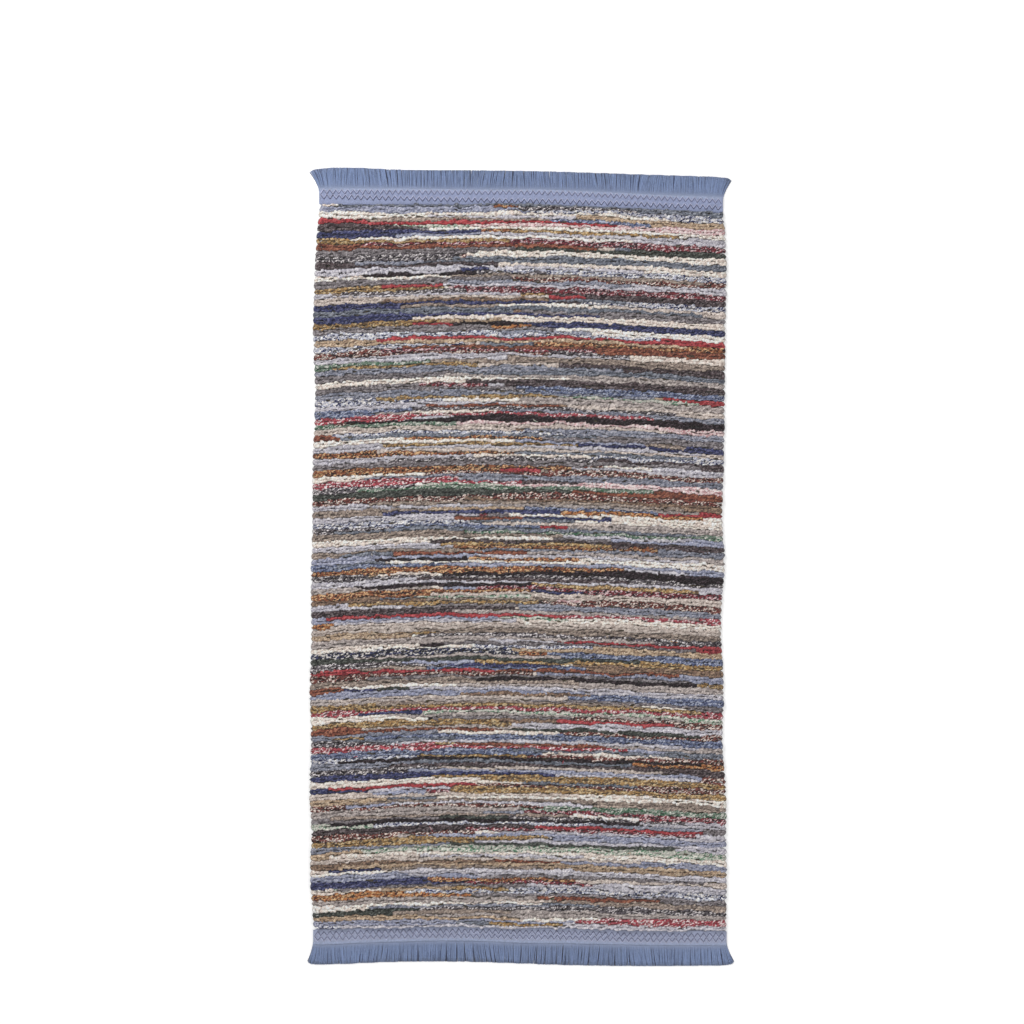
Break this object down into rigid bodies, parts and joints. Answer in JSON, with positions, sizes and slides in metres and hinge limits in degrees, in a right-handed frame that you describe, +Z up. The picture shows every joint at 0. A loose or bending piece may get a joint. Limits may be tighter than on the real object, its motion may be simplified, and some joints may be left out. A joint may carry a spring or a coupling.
{
  "type": "hooked rug",
  "caption": "Long floor rug of hooked looped yarn in thin multicoloured stripes, with a woven heading band and a dense cut fringe at each end.",
  "frame": {"origin": "middle of the rug's underside, on the surface that it lies on", "axes": "+X across the rug, +Y along it towards the north heading, +Z up out of the pile"},
  "size_m": [0.8013, 1.501, 0.0105],
  "materials": {
    "pile": "looped yarn in many colours, matte",
    "heading": "fine woven lilac-blue band, matte",
    "fringe": "fine blue threads, slight sheen"
  },
  "bodies": {
    "root": {"rug_field": "pile", "heading_north": "heading", "heading_south": "heading", "fringe_north": "fringe", "fringe_south": "fringe"}
  },
  "joints": []
}
